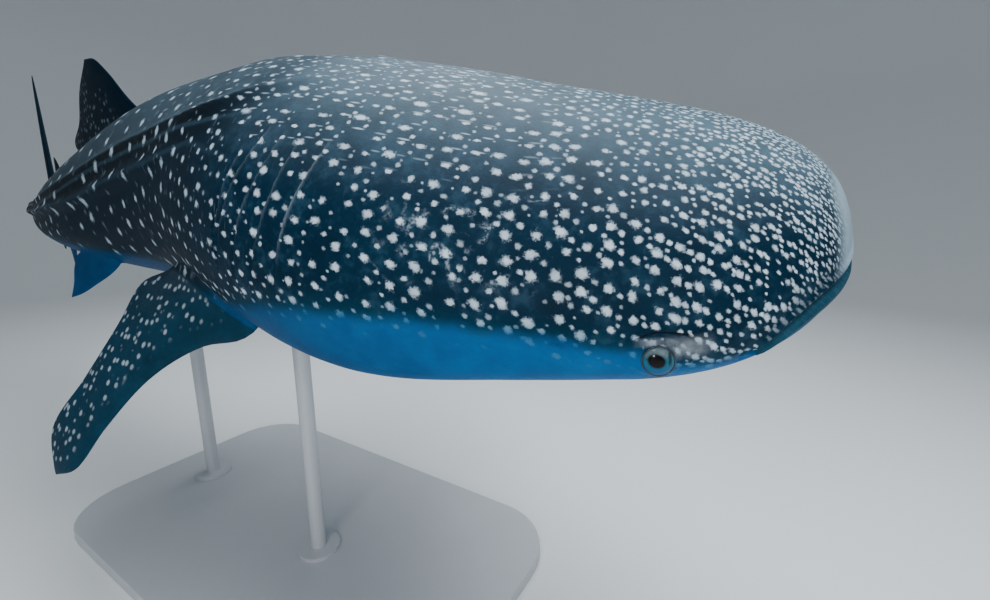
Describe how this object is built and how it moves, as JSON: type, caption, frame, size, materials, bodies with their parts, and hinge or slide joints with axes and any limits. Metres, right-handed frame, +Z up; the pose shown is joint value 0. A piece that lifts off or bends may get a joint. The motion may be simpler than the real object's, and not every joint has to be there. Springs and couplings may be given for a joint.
{
  "type": "whale shark model",
  "caption": "Life-size model of a swimming whale shark with spotted skin, broad flat head, gill flaps, ridged flanks and fins, held by a plain display stand.",
  "frame": {"origin": "centre of the underside of the stand's base, on the floor", "axes": "+X the way the shark swims, +Z up, the shark's right side toward -Y"},
  "size_m": [6.0163, 2.1858, 2.7671],
  "materials": {
    "skin": "satin slate skin with pale spots, pale blue belly",
    "fin_skin": "satin dark slate skin with small pale spots",
    "eye": "wet gloss",
    "stand_metal": "pale grey satin paint"
  },
  "bodies": {
    "root": {"head": "skin", "gill_region": "skin", "trunk": "skin", "tail_stock": "skin", "first_dorsal_fin": "fin_skin", "second_dorsal_fin": "fin_skin", "anal_fin": "fin_skin", "caudal_upper_lobe": "fin_skin", "caudal_lower_lobe": "fin_skin", "pectoral_fin_left": "fin_skin", "pectoral_fin_right": "fin_skin", "pelvic_fin_left": "fin_skin", "pelvic_fin_right": "fin_skin", "eye_left": "eye", "eye_right": "eye", "stand_base": "stand_metal", "stand_rod_front": "stand_metal", "stand_rod_rear": "stand_metal"}
  },
  "joints": []
}
